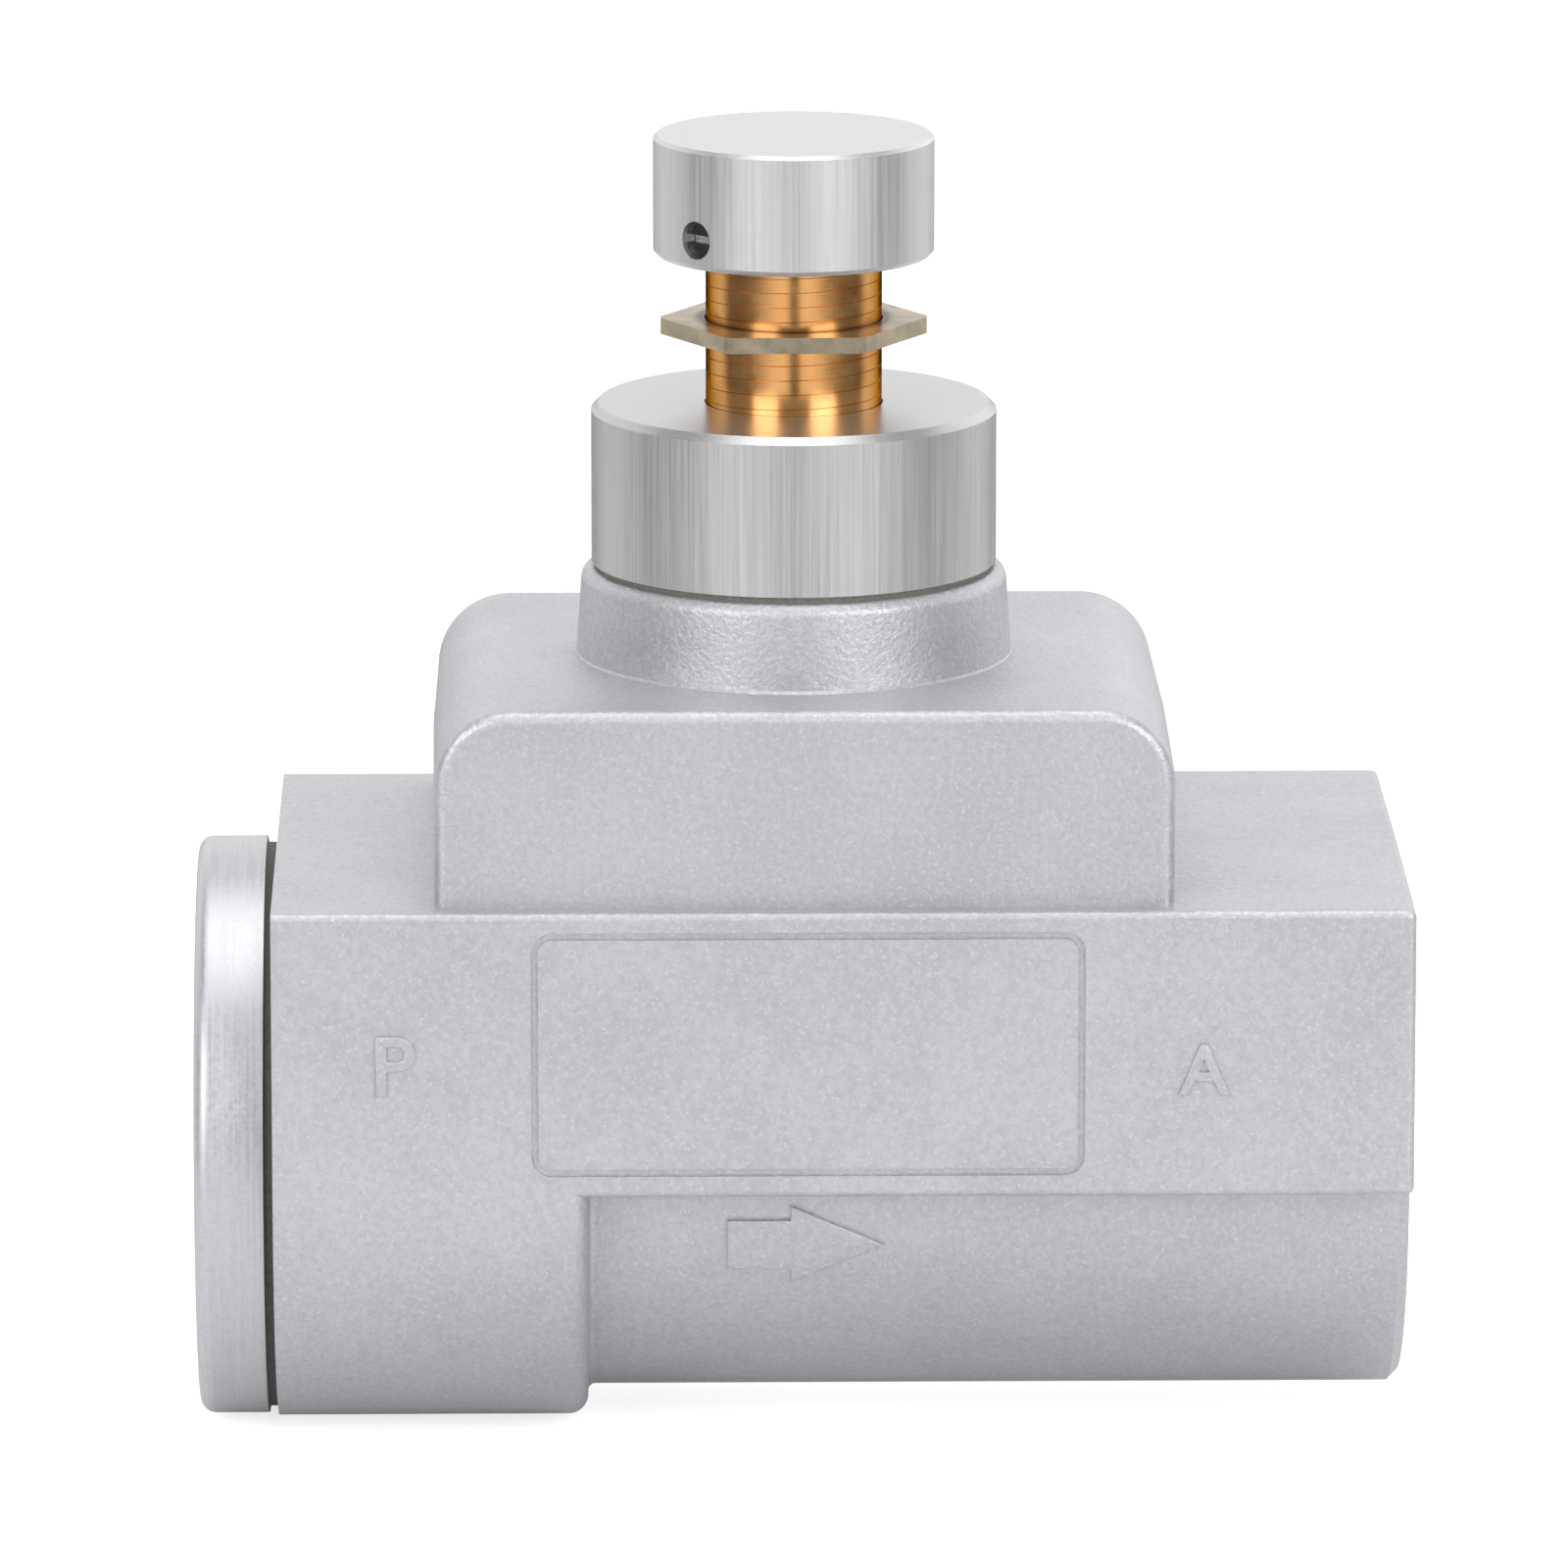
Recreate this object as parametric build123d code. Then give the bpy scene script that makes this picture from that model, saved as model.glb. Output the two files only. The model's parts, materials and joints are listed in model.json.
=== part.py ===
from build123d import *
import math
import os

# Inline one-way flow control valve. Millimetres.
# The origin is the centre of the inlet port's mouth, +X runs with the flow and +Z runs up the stem.

# Pipe ports, half-inch pipe thread cut to its core diameter
port_bore_d = 18.63
port_depth = 16.0
port_lead_in = 1.2
port_lead_in_depth = 0.45

# End cap
cap_flange_d = 39.7
cap_flange_t = 4.7
cap_edge_r = 1.0
cap_shoulder_w = 4.85
cap_engagement = 14.0
cap_throat_d = 15.0
cap_throat_t = 1.4
cap_spring_pocket_d = 20.4
cap_seal_t = 0.7
cap_seal_set_back = 0.45

# Die-cast body, outside
body_length = 76.8
body_width = 44.9
block_top = 19.8
block_under = 0.2
block_edge_r = 0.5
inlet_half_length = 21.2
inlet_half_edge_r = 1.35
inlet_half_foot_r = 0.5
outlet_round_d = 35.9
outlet_round_bevel = 0.7
outlet_face_d = 31.0
outlet_face_skim = 0.25
draft = 0.5
stem_from_inlet = 40.8

# Saddle pad and boss on top of the block
pad_length = 49.7
pad_width = 41.2
pad_offset = 0.4
pad_top = 33.15
pad_corner_r = 5.2
pad_edge_r = 0.8
boss_foot_d = 29.7
boss_mouth_d = 28.9
boss_top = 39.2
boss_edge_r = 0.9
boss_flare = 0.2

# Outlined panel on each flat side
panel_length = 37.2
panel_height = 16.8
panel_mid_x = 0.6
panel_mid_z = 10.1
panel_corner_r = 1.4
panel_line_w = 0.5
panel_line_depth = 0.3

# Check valve
check_chamber_d = 26.0
check_seat_x = 33.8
check_seat_d = 13.0
check_seat_lip_w = 1.7
check_seat_lip_h = 0.6
check_wall_t = 2.8
poppet_d = 20.8
poppet_t = 3.8
poppet_spigot_d = 15.0
poppet_spigot_length = 3.0
poppet_core_d = 4.0
poppet_wing_t = 1.6
poppet_wing_length = 9.0
poppet_wing_count = 4
poppet_wing_clearance = 0.15
poppet_seal_t = 1.6
poppet_seal_bite = 0.4
poppet_seal_overhang = 1.0
spring_wire_d = 1.1
spring_mean_d = 17.8
spring_turns = 4
spring_wire_sides = 6
spring_end_gap = 0.03

# Throttle passage
outlet_passage_d = 15.0
throttle_floor = 15.0
throttle_chamber_d = 23.2
throttle_orifice_d = 7.0
throttle_seat_chamfer = 0.5
feed_slot_w = 4.0
feed_slot_r = 9.2
feed_slot_half_angle = 14.0

# Gland
gland_d = 27.6
gland_height = 10.9
gland_edge = 0.5
gland_thread_d = 25.0
gland_engagement = 10.6
gland_thread_runout = 1.0
gland_seal_t = 0.4
gland_seal_set_back = 0.35

# Stem and needle
stem_thread_d = 12.0
stem_pitch = 1.0
stem_turns_to_close = 4.0
stem_turns_to_stop = 2.0
stem_collar_d = 16.0
stem_collar_t = 5.6
stem_neck_d = 9.2
stem_tip_d = 2.8
needle_half_angle = 20.0
stem_seal_d = 1.7
stem_seal_sides = 8
stem_seal_groove_w = 2.6
stem_journal_d = 10.0
stem_journal_length = 5.9
stem_edge = 0.4

# Locknut
locknut_flats = 16.0
locknut_t = 1.1
locknut_gap = 4.7
locknut_corner_d = 18.1

# Knob and its set screw
knob_d = 19.1
knob_height = 8.2
knob_gap = 10.2
knob_top_edge = 0.25
knob_under_edge = 0.35
set_screw_d = 2.5
set_screw_angle = 45.0
set_screw_from_under = 2.05
set_screw_recess = 0.5
set_screw_slot_w = 0.55
set_screw_slot_depth = 0.8

# Fits
thread_fit = 0.05
running_fit = 0.08
seat_fit = 0.03

# Places along the flow
cap_thread_d = cap_flange_d - 2 * cap_shoulder_w
body_face_x = cap_flange_t + cap_seal_t
inlet_half_end_x = body_face_x + inlet_half_length
outlet_face_x = body_face_x + body_length
cap_end_x = body_face_x + cap_engagement
spring_seat_x = port_depth + cap_throat_t
wall_face_x = check_seat_x + check_seat_lip_h
wall_back_x = wall_face_x + check_wall_t
poppet_face_x = check_seat_x - poppet_seal_bite
poppet_back_x = poppet_face_x - poppet_t
stem_x = stem_from_inlet

# Heights along the stem
gland_under = boss_top + gland_seal_t
gland_top = gland_under + gland_height
gland_foot = gland_under - gland_engagement
knob_under = gland_top + knob_gap
knob_top = knob_under + knob_height
stem_end = knob_under + stem_journal_length
needle_slope = math.tan(math.radians(needle_half_angle))
closing_travel = stem_turns_to_close * stem_pitch
needle_contact_z = throttle_floor - throttle_seat_chamfer + closing_travel
needle_contact_r = throttle_orifice_d / 2 - seat_fit
needle_top_z = needle_contact_z + (stem_neck_d / 2 - needle_contact_r) / needle_slope
needle_tip_z = needle_contact_z - (needle_contact_r - stem_tip_d / 2) / needle_slope
collar_bore_r = stem_collar_d / 2 + running_fit
collar_stop_z = gland_under + stem_edge
collar_top = collar_stop_z - stem_turns_to_stop * stem_pitch - running_fit
collar_under = collar_top - stem_collar_t

half_width = body_width / 2
draft_run = math.tan(math.radians(draft))
flow_axis = Axis((0, 0, 0), (1, 0, 0))
stem_axis = Axis((stem_x, 0, 0), (0, 0, 1))


def along_flow(radius, x0, x1):
    """Round bar about the port axis, between two places along the flow."""
    return Plane.YZ.offset(x0) * extrude(Circle(radius), x1 - x0)


def along_stem(radius, z0, z1):
    """Round bar about the stem axis, between two heights."""
    return Pos(stem_x, 0, z0) * extrude(Circle(radius), z1 - z0)


def turned_on_flow(points):
    """Solid of revolution about the port axis, from (x, radius) points."""
    profile = make_face(Polyline(*[(x, 0, r) for x, r in points], close=True))
    return revolve(profile, flow_axis)


def turned_on_stem(points):
    """Solid of revolution about the stem axis, from (radius, z) points."""
    profile = make_face(Polyline(*[(stem_x + r, 0, z) for r, z in points], close=True))
    return revolve(profile, stem_axis)


def both_sides(profile, reach):
    """Casting drawn out of a two-part die: the profile on the XZ plane, drafted towards each side."""
    front = extrude(profile, reach, taper=draft)
    return front + mirror(front, Plane.XZ)


def side_outline(solid, reach):
    """Edges round the two faces at the far sides of a casting."""
    return solid.edges().filter_by(lambda e: abs(abs(e.center().Y) - reach) < 1e-3)


def block():
    """Upper half of the casting, square to the ports, drafted above and below and faced at its ends."""
    grow = half_width * draft_run
    overrun = cap_flange_t
    x0 = body_face_x - overrun
    x1 = outlet_face_x + overrun
    z0 = block_under - grow
    z1 = block_top + grow
    mid_z = (z0 + z1) / 2
    profile = Plane.XZ * Pos((x0 + x1) / 2, mid_z) * Rectangle(x1 - x0, z1 - z0)
    faced_off = Box(2 * overrun, 2 * body_width, 2 * (z1 - z0))
    solid = both_sides(profile, half_width) - Pos(x1, 0, mid_z) * faced_off
    outlet_end = solid.faces().sort_by(Axis.X)[-1].edges()
    top_and_under = side_outline(solid, half_width).filter_by(lambda e: e.length > body_length / 2)
    solid = fillet(outlet_end + top_and_under, block_edge_r)
    return solid - Pos(x0, 0, mid_z) * faced_off


def inlet_half():
    """Oval underside of the inlet end, flush with the cap's rim below and with the block's flat sides."""
    top_z = (block_top + block_under) / 2
    depth = cap_flange_d / 2 + block_under
    left = (-half_width, block_under)
    right = (half_width, block_under)
    sides = Polyline(right, (half_width, top_z), (-half_width, top_z), left)
    round_under = EllipticalCenterArc((0, block_under), half_width, depth, 180, arc_size=180)
    section = Plane.YZ.offset(body_face_x) * make_face(sides + round_under)
    solid = extrude(section, inlet_half_length)
    end_edges = solid.edges().filter_by(lambda e: abs(e.center().X - inlet_half_end_x) < 1e-3)
    return fillet(end_edges.filter_by(lambda e: e.center().Z < top_z - 1), inlet_half_edge_r)


def outlet_half():
    """Round underside of the outlet end, about the port axis."""
    bar = along_flow(outlet_round_d / 2, body_face_x + inlet_half_length / 2, outlet_face_x)
    end_edge = bar.edges().sort_by(Axis.X)[-1]
    return chamfer(end_edge, outlet_round_bevel)


def pad():
    """Saddle on top of the block, with rounded shoulders."""
    reach = pad_width / 2
    grow = reach * draft_run
    z0 = (block_under + block_top) / 2
    z1 = pad_top + grow
    mid_x = stem_x + pad_offset
    length = pad_length + 2 * grow
    sketch = Rectangle(length, z1 - z0)
    sketch = fillet(sketch.vertices().group_by(Axis.Y)[-1], pad_corner_r)
    profile = Plane.XZ * Pos(mid_x, (z0 + z1) / 2) * sketch
    solid = both_sides(profile, reach)
    outline = side_outline(solid, reach).filter_by(lambda e: e.center().Z > z0 + 1)
    return fillet(outline, pad_edge_r)


def boss():
    """Tapered neck that takes the gland, with a small flare where it grows out of the pad."""
    base_z = (block_top + pad_top) / 2
    foot_z = pad_top + (pad_width - boss_foot_d) / 2 * draft_run
    wall_r = boss_foot_d / 2
    solid = turned_on_stem(
        [
            (0, base_z),
            (wall_r + boss_flare, base_z),
            (wall_r + boss_flare, foot_z),
            (wall_r, foot_z + boss_flare),
            (boss_mouth_d / 2, boss_top),
            (0, boss_top),
        ]
    )
    rim = solid.edges().group_by(Axis.Z)[-1]
    return fillet(rim, boss_edge_r)


def panel_line(side):
    """Shallow outline cast into one flat side."""
    outer = RectangleRounded(panel_length, panel_height, panel_corner_r)
    inner = offset(outer, -panel_line_w)
    face = Plane((0, side * half_width, 0), x_dir=(1, 0, 0), z_dir=(0, side, 0))
    up = 1 if side < 0 else -1
    placed = face * Pos(stem_x + panel_mid_x, up * panel_mid_z) * (outer - inner)
    return extrude(placed, -panel_line_depth)


def flow_passages():
    """Machined bores: inlet thread, check chamber and seat, throttle chamber and outlet."""
    thread_end_x = cap_end_x + thread_fit * 10
    cap_bore = along_flow(cap_thread_d / 2 + thread_fit, 0, thread_end_x)
    chamber = along_flow(check_chamber_d / 2, 0, wall_face_x)
    lip_r = check_seat_d / 2 + check_seat_lip_w
    lip = along_flow(lip_r, check_seat_x, wall_face_x)
    seat_hole = along_flow(check_seat_d / 2, check_seat_x, wall_back_x)
    outlet = along_flow(outlet_passage_d / 2, wall_back_x, outlet_face_x)
    port_x = outlet_face_x - port_depth
    port_r = port_bore_d / 2
    skim_x = outlet_face_x - outlet_face_skim
    port = turned_on_flow(
        [
            (port_x, 0),
            (port_x, port_r),
            (skim_x - port_lead_in_depth, port_r),
            (skim_x, port_r + port_lead_in),
            (skim_x, 0),
        ]
    )
    skim = along_flow(outlet_face_d / 2, skim_x, outlet_face_x + body_width)
    return [cap_bore, chamber - lip, seat_hole, outlet, port, skim]


def throttle_bores():
    """Bores on the stem axis, and the slot that feeds the throttle from the check chamber."""
    thread_foot = gland_foot - gland_thread_runout
    thread = along_stem(gland_thread_d / 2 + thread_fit, thread_foot, boss_top + boss_edge_r)
    chamber = along_stem(throttle_chamber_d / 2, throttle_floor, boss_top)
    orifice_r = throttle_orifice_d / 2
    chamfer_r = orifice_r + throttle_seat_chamfer
    seat = turned_on_stem(
        [
            (0, 0),
            (orifice_r, 0),
            (orifice_r, throttle_floor - throttle_seat_chamfer),
            (chamfer_r, throttle_floor),
            (0, throttle_floor),
        ]
    )
    arc = CenterArc((0, 0), feed_slot_r, 180 - feed_slot_half_angle, 2 * feed_slot_half_angle)
    slot = Pos(stem_x, 0, throttle_floor) * extrude(SlotArc(arc, feed_slot_w), -check_chamber_d / 4)
    return [thread, chamber, seat, slot]


def valve_body():
    """One casting: block, round undersides, pad and boss, then the machined bores."""
    casting = block() + inlet_half() + outlet_half() + pad() + boss()
    casting = casting.clean()
    outlet_r = outlet_round_d / 2
    round_edges = casting.edges().filter_by(GeomType.CIRCLE)
    step_arcs = round_edges.filter_by(lambda e: abs(e.radius - outlet_r) < 1e-3)
    step_foot = step_arcs.filter_by(lambda e: abs(e.center().X - inlet_half_end_x) < 1e-3)
    casting = fillet(step_foot, inlet_half_foot_r)
    for cutter in flow_passages() + throttle_bores():
        casting = casting - cutter
    for side in (-1, 1):
        casting = casting - panel_line(side)
    return casting


def end_cap():
    """Round cap with the inlet port, a threaded spigot and a pocket for the spring."""
    flange_r = cap_flange_d / 2
    spigot_r = cap_thread_d / 2
    blank = turned_on_flow(
        [
            (0, 0),
            (0, flange_r),
            (cap_flange_t, flange_r),
            (cap_flange_t, spigot_r),
            (cap_end_x - stem_edge, spigot_r),
            (cap_end_x, spigot_r - stem_edge),
            (cap_end_x, 0),
        ]
    )
    rim = blank.edges().filter_by(lambda e: abs(e.length - math.tau * flange_r) < 1e-3).sort_by(Axis.X)
    blank = fillet(rim[0], cap_edge_r)
    port_r = port_bore_d / 2
    bore = turned_on_flow(
        [
            (0, 0),
            (0, port_r + port_lead_in),
            (port_lead_in_depth, port_r),
            (port_depth, port_r),
            (port_depth, cap_throat_d / 2),
            (spring_seat_x, cap_throat_d / 2),
            (spring_seat_x, cap_spring_pocket_d / 2),
            (cap_end_x, cap_spring_pocket_d / 2),
            (cap_end_x, 0),
        ]
    )
    return blank - bore


def end_cap_seal():
    """Flat ring in the joint between cap and body."""
    outer = cap_flange_d / 2 - cap_seal_set_back
    inner = cap_thread_d / 2 + thread_fit * 2
    return along_flow(outer, cap_flange_t, body_face_x) - along_flow(inner, cap_flange_t, body_face_x)


def poppet_seal_radii():
    """Inner and outer radius of the seal, which covers the seat's lip."""
    inner = check_seat_d / 2
    return inner, inner + check_seat_lip_w + poppet_seal_overhang


def check_poppet():
    """Poppet with a spring spigot behind and guide wings that slide in the seat's bore."""
    groove_floor_x = check_seat_x - poppet_seal_t
    seal_in, seal_out = poppet_seal_radii()
    spigot_x = poppet_back_x - poppet_spigot_length
    spigot_r = poppet_spigot_d / 2
    head = turned_on_flow(
        [
            (spigot_x, 0),
            (spigot_x, spigot_r - stem_edge),
            (spigot_x + stem_edge, spigot_r),
            (poppet_back_x, spigot_r),
            (poppet_back_x, poppet_d / 2),
            (poppet_face_x, poppet_d / 2),
            (poppet_face_x, 0),
        ]
    )
    groove = along_flow(seal_out + running_fit, groove_floor_x, check_seat_x)
    groove = groove - along_flow(seal_in - running_fit, groove_floor_x, check_seat_x)
    wing_r = check_seat_d / 2 - poppet_wing_clearance
    wing_end_x = poppet_face_x + poppet_wing_length
    guide = turned_on_flow(
        [
            (poppet_face_x, 0),
            (poppet_face_x, wing_r),
            (wing_end_x - wing_r / 2, wing_r),
            (wing_end_x, wing_r / 2),
            (wing_end_x, 0),
        ]
    )
    rib = Pos((poppet_face_x + wing_end_x) / 2, 0, 0) * Box(poppet_wing_length, 2 * wing_r, poppet_wing_t)
    cross = along_flow(poppet_core_d / 2, poppet_face_x, wing_end_x)
    for turn in range(poppet_wing_count // 2):
        cross = cross + Rot(turn * 360 / poppet_wing_count + 45, 0, 0) * rib
    return (head - groove) + (cross & guide)


def check_poppet_seal():
    """Rubber ring in the poppet's face."""
    seal_in, seal_out = poppet_seal_radii()
    floor_x = check_seat_x - poppet_seal_t
    return along_flow(seal_out, floor_x, check_seat_x) - along_flow(seal_in, floor_x, check_seat_x)


def check_spring():
    """Open coil spring between the cap's pocket and the poppet's back."""
    wire_r = spring_wire_d / 2
    start_x = spring_seat_x + wire_r + spring_end_gap
    length = poppet_back_x - wire_r - spring_end_gap - start_x
    coil = Helix(length / spring_turns, length, spring_mean_d / 2)
    section = Plane(coil @ 0, z_dir=coil % 0) * RegularPolygon(wire_r, spring_wire_sides)
    wire = sweep(section, path=coil, is_frenet=True)
    return Plane.YZ.offset(start_x) * wire


def gland():
    """Turned bonnet: flange, threaded spigot, stem thread and the bore for the stem's collar."""
    flange_r = gland_d / 2
    spigot_r = gland_thread_d / 2
    blank = turned_on_stem(
        [
            (0, gland_foot),
            (spigot_r - gland_edge, gland_foot),
            (spigot_r, gland_foot + gland_edge),
            (spigot_r, gland_under),
            (flange_r, gland_under),
            (flange_r, gland_top - gland_edge),
            (flange_r - gland_edge, gland_top),
            (0, gland_top),
        ]
    )
    stem_bore = along_stem(stem_thread_d / 2 + running_fit, gland_foot, gland_top)
    collar_bore = along_stem(collar_bore_r, gland_foot, collar_stop_z)
    return blank - stem_bore - collar_bore


def gland_seal():
    """Thin ring under the gland's flange."""
    outer = gland_d / 2 - gland_seal_set_back
    inner = gland_thread_d / 2 + thread_fit * 2
    return along_stem(outer, boss_top, gland_under) - along_stem(inner, boss_top, gland_under)


def stem_seal_radius():
    """Radius of the seal's centre line, just inside the collar's bore."""
    return collar_bore_r - seat_fit - stem_seal_d / 2


def stem():
    """Screw with a plain journal for the knob, a sealed collar and a needle."""
    screw_r = stem_thread_d / 2
    journal_r = stem_journal_d / 2
    blank = turned_on_stem(
        [
            (0, needle_tip_z),
            (stem_tip_d / 2, needle_tip_z),
            (stem_neck_d / 2, needle_top_z),
            (stem_neck_d / 2, collar_under),
            (stem_collar_d / 2 - stem_edge, collar_under),
            (stem_collar_d / 2, collar_under + stem_edge),
            (stem_collar_d / 2, collar_top),
            (screw_r, collar_top),
            (screw_r, knob_under),
            (journal_r, knob_under),
            (journal_r, stem_end - stem_edge),
            (journal_r - stem_edge, stem_end),
            (0, stem_end),
        ]
    )
    seal_z = (collar_under + collar_top) / 2
    groove_r = stem_seal_radius() - stem_seal_d / 2 - seat_fit
    groove_z0 = seal_z - stem_seal_groove_w / 2
    groove_z1 = seal_z + stem_seal_groove_w / 2
    groove = along_stem(stem_collar_d, groove_z0, groove_z1) - along_stem(groove_r, groove_z0, groove_z1)
    return blank - groove


def stem_seal():
    """Round ring in the collar's groove."""
    seal_z = (collar_under + collar_top) / 2
    ring = RegularPolygon(stem_seal_d / 2, stem_seal_sides)
    section = Plane.XZ * Pos(stem_x + stem_seal_radius(), seal_z) * ring
    return revolve(section, stem_axis)


def locknut():
    """Thin stamped hexagon nut with the tips of its corners turned off."""
    z0 = gland_top + locknut_gap
    z1 = z0 + locknut_t
    hexagon = RegularPolygon(locknut_flats / 2, 6, major_radius=False)
    blank = Pos(stem_x, 0, z0) * extrude(hexagon, locknut_t)
    turned = along_stem(locknut_corner_d / 2, z0, z1)
    return (blank & turned) - along_stem(stem_thread_d / 2 + running_fit, z0, z1)


def set_screw_plane(radius):
    """Plane across the set screw's axis, facing out, at a radius from the stem axis."""
    turn = math.radians(set_screw_angle)
    out = Vector(-math.sin(turn), -math.cos(turn), 0)
    origin = Vector(stem_x, 0, knob_under + set_screw_from_under) + out * radius
    return Plane(origin, x_dir=(0, 0, 1), z_dir=out)


def knob():
    """Plain round knob with a blind bore and a radial hole for its set screw."""
    knob_r = knob_d / 2
    blank = turned_on_stem(
        [
            (0, knob_under),
            (knob_r - knob_under_edge, knob_under),
            (knob_r, knob_under + knob_under_edge),
            (knob_r, knob_top - knob_top_edge),
            (knob_r - knob_top_edge, knob_top),
            (0, knob_top),
        ]
    )
    bore = along_stem(stem_journal_d / 2 + thread_fit, knob_under, stem_end + running_fit)
    hole = set_screw_plane(0) * extrude(Circle(set_screw_d / 2 + thread_fit), knob_d)
    return blank - bore - hole


def knob_set_screw():
    """Slotted grub screw that bears on the stem's journal."""
    inner = stem_journal_d / 2 + seat_fit
    outer = knob_d / 2 - set_screw_recess
    body = set_screw_plane(inner) * extrude(Circle(set_screw_d / 2), outer - inner)
    slot = Rectangle(set_screw_slot_w, 2 * set_screw_d)
    return body - set_screw_plane(outer) * extrude(slot, -set_screw_slot_depth)


nodes = {
    "valve_body": valve_body,
    "end_cap": end_cap,
    "end_cap_seal": end_cap_seal,
    "check_poppet": check_poppet,
    "check_poppet_seal": check_poppet_seal,
    "check_spring": check_spring,
    "gland": gland,
    "gland_seal": gland_seal,
    "stem": stem,
    "stem_seal": stem_seal,
    "locknut": locknut,
    "knob": knob,
    "knob_set_screw": knob_set_screw,
}

os.makedirs("parts", exist_ok=True)
for name, make in nodes.items():
    export_step(make(), f"parts/{name}.step")
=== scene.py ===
import json
import math

import bmesh
import bpy
from mathutils import Euler, Matrix, Vector


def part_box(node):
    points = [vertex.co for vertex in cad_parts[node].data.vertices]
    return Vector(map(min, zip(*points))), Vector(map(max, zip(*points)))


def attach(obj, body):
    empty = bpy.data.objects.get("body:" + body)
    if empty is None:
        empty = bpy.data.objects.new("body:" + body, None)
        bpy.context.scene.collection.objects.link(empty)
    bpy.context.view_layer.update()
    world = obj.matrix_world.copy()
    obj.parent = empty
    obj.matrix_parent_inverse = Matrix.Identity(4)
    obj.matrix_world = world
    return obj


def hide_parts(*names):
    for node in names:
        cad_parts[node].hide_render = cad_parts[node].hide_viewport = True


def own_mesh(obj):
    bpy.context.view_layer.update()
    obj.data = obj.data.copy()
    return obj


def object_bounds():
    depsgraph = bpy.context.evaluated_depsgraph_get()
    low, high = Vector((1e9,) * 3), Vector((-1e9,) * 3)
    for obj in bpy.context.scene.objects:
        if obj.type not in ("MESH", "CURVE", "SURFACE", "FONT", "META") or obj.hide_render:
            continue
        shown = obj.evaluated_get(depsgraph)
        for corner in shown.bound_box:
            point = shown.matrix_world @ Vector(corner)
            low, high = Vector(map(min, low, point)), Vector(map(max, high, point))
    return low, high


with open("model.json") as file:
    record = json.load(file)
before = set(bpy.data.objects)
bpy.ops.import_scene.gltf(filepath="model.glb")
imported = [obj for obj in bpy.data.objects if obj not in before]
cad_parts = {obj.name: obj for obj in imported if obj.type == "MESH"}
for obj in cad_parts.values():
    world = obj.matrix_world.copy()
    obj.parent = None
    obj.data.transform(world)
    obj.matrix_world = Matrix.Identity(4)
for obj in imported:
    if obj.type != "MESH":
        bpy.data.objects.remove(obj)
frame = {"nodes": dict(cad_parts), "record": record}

mm = 0.001
doublesGap = 0.0001 * mm       # doubles in a node's mesh lie closer than this
onWall = 0.01 * mm             # a point this near a radius lies on that wall
cadLow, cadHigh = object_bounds()
nodes = frame["nodes"]
stemX = sum(c.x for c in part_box("stem")) / 2          # the stem axis stands here
print("frame loaded,", len(nodes), "nodes")


# Shader helpers

def addNode(tree, kind, **settings):
    node = tree.nodes.new(kind)
    for key, value in settings.items():
        setattr(node, key, value)
    return node


def plug(tree, value, socket):
    if isinstance(value, bpy.types.NodeSocket):
        tree.links.new(value, socket)
    else:
        socket.default_value = value


def startFinish(name, **values):
    finish = bpy.data.materials.new(name)
    finish.use_nodes = True
    tree = finish.node_tree
    shader = tree.nodes["Principled BSDF"]
    for key, value in values.items():
        shader.inputs[key].default_value = value
    return finish, tree, shader


def objectPlace(tree, move=(0, 0, 0), scale=(1, 1, 1)):
    place = addNode(tree, "ShaderNodeTexCoord")
    mapping = addNode(tree, "ShaderNodeMapping")
    mapping.inputs["Location"].default_value = move
    mapping.inputs["Scale"].default_value = scale
    tree.links.new(place.outputs["Object"], mapping.inputs["Vector"])
    return mapping.outputs["Vector"]


def noise(tree, place, grainSize, detail=2.0, rough=0.5):
    node = addNode(tree, "ShaderNodeTexNoise")
    tree.links.new(place, node.inputs["Vector"])
    node.inputs["Scale"].default_value = 1 / grainSize
    node.inputs["Detail"].default_value = detail
    node.inputs["Roughness"].default_value = rough
    return node.outputs["Fac"]


def math2(tree, operation, a, b=0.0):
    node = addNode(tree, "ShaderNodeMath", operation=operation)
    plug(tree, a, node.inputs[0])
    plug(tree, b, node.inputs[1])
    return node.outputs[0]


def spread(tree, factor, low, high, fromLow=0.3, fromHigh=0.7):
    node = addNode(tree, "ShaderNodeMapRange")
    plug(tree, factor, node.inputs["Value"])
    node.inputs["From Min"].default_value = fromLow
    node.inputs["From Max"].default_value = fromHigh
    node.inputs["To Min"].default_value = low
    node.inputs["To Max"].default_value = high
    return node.outputs["Result"]


def tint(tree, factor, low, high, fromLow=0.3, fromHigh=0.7):
    node = addNode(tree, "ShaderNodeValToRGB")
    plug(tree, factor, node.inputs["Fac"])
    ramp = node.color_ramp.elements
    ramp[0].position, ramp[0].color = fromLow, (*low, 1)
    ramp[1].position, ramp[1].color = fromHigh, (*high, 1)
    return node.outputs["Color"]


def blend(tree, factor, first, second):
    node = addNode(tree, "ShaderNodeMix", data_type="RGBA")
    plug(tree, factor, node.inputs[0])
    plug(tree, first, node.inputs[6])
    plug(tree, second, node.inputs[7])
    return node.outputs[2]


def bump(tree, height, strength, depth, under=None):
    node = addNode(tree, "ShaderNodeBump")
    plug(tree, height, node.inputs["Height"])
    node.inputs["Strength"].default_value = strength
    node.inputs["Distance"].default_value = depth
    if under is not None:
        tree.links.new(under, node.inputs["Normal"])
    return node.outputs["Normal"]


# Finishes

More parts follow.
